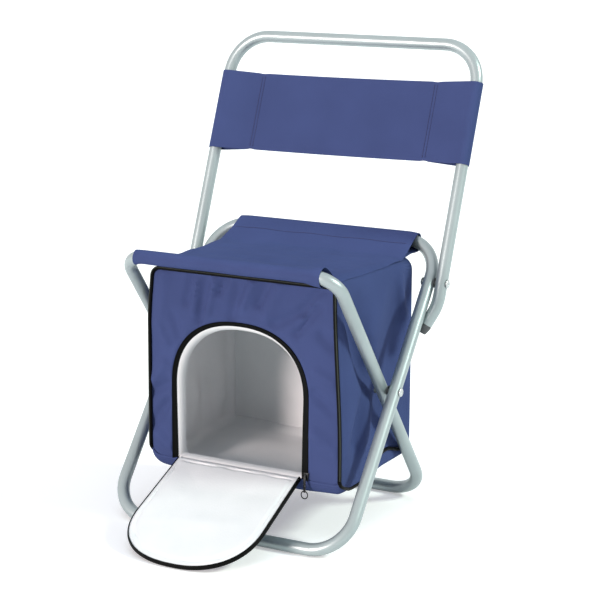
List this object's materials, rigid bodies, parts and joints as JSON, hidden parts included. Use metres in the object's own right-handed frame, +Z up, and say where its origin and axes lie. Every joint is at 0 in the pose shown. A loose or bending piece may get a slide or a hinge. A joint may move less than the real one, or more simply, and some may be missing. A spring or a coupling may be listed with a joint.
{
  "type": "folding cooler stool",
  "caption": "Folding stool on crossed tube frames with a fabric seat, a hinged backrest and an insulated bag slung under the seat, opened by a zipped door that folds down",
  "frame": {"origin": "On the floor, under the middle of the stool's overall box, with the door open", "axes": "+Z up; the door faces -Y and the backrest leans back towards +Y; +X is to the right seen from the front"},
  "size_m": [0.3862, 0.467, 0.5996],
  "materials": {
    "tube": "silver-grey powder coat on steel tube",
    "steel": "bright zinc plate",
    "dark_plastic": "moulded dark grey",
    "blue_fabric": "plain woven polyester, coated behind",
    "black_trim": "woven tape and corded piping",
    "lining": "smooth white plastic film",
    "foam": "closed-cell foam sheet",
    "zip_metal": "black lacquered die casting"
  },
  "bodies": {
    "outer_legs": {"outer_leg_tube": "tube", "outer_tube_splice": "steel", "leg_rivet_left": "steel", "leg_rivet_right": "steel", "leg_washer_left": "dark_plastic", "leg_washer_right": "dark_plastic", "backrest_rivet_left": "steel", "backrest_rivet_right": "steel", "backrest_washer_left": "dark_plastic", "backrest_washer_right": "dark_plastic", "seat_rear_sleeve": "blue_fabric"},
    "inner_legs": {"inner_leg_tube": "tube", "inner_tube_splice": "steel", "seat_front_sleeve": "blue_fabric"},
    "backrest": {"backrest_tube": "tube", "backrest_plug_left": "dark_plastic", "backrest_plug_right": "dark_plastic", "backrest_band": "blue_fabric"},
    "bag": {"bag_gusset": "blue_fabric", "foam_gusset": "foam", "lining_gusset": "lining", "bottom_piping_left": "black_trim", "bottom_piping_right": "black_trim", "seat_panel": "blue_fabric"},
    "bag_front": {"bag_front_panel": "blue_fabric", "foam_front": "foam", "lining_front": "lining", "front_piping": "black_trim", "opening_zip_tape": "black_trim"},
    "bag_back": {"bag_back_panel": "blue_fabric", "foam_back": "foam", "lining_back": "lining", "rear_piping": "black_trim"},
    "door": {"door_panel": "blue_fabric", "door_foam": "foam", "door_lining": "lining", "door_zip_tape": "black_trim"},
    "zip_slider": {"zip_slider": "zip_metal"},
    "zip_pull": {"zip_pull": "zip_metal"}
  },
  "joints": [
    {"name": "leg_fold", "type": "hinge", "parent": "outer_legs", "child": "bag", "pos_m": [0, 0.01815, 0.17955], "axis": [-1, 0, 0], "range_deg": [0, 34], "deforming": ["bag_gusset", "foam_gusset", "lining_gusset", "bottom_piping_left", "bottom_piping_right", "seat_panel"]},
    {"name": "inner_leg_fold", "type": "hinge", "parent": "bag", "child": "inner_legs", "pos_m": [0, 0.01815, 0.17955], "axis": [-1, 0, 0], "range_deg": [0, 34]},
    {"name": "bag_front_draw", "type": "slide", "parent": "bag", "child": "bag_front", "axis": [0, 1, 0], "range_m": [0, 0.076]},
    {"name": "bag_back_draw", "type": "slide", "parent": "bag", "child": "bag_back", "axis": [0, -1, 0], "range_m": [0, 0.082]},
    {"name": "door_hinge", "type": "hinge", "parent": "bag_front", "child": "door", "pos_m": [0, -0.07385, 0.07831], "axis": [-1, 0, 0], "range_deg": [0, 115.9]},
    {"name": "zip_travel", "type": "slide", "parent": "bag_front", "child": "zip_slider", "axis": [0, 0, 1], "range_m": [0, 0.085]},
    {"name": "pull_swing", "type": "hinge", "parent": "zip_slider", "child": "zip_pull", "pos_m": [0.09265, -0.08015, 0.08411], "axis": [-1, 0, 0], "range_deg": [0, 165]},
    {"name": "backrest_fold", "type": "hinge", "parent": "outer_legs", "child": "backrest", "pos_m": [0, 0.1133, 0.3009], "axis": [1, 0, 0], "range_deg": [0, 95]}
  ],
  "couplings": [
    {"joint": "inner_leg_fold", "follows": "leg_fold", "ratio": 1},
    {"joint": "bag_front_draw", "follows": "leg_fold", "m_per_rad": 0.128},
    {"joint": "bag_back_draw", "follows": "leg_fold", "m_per_rad": 0.138}
  ]
}
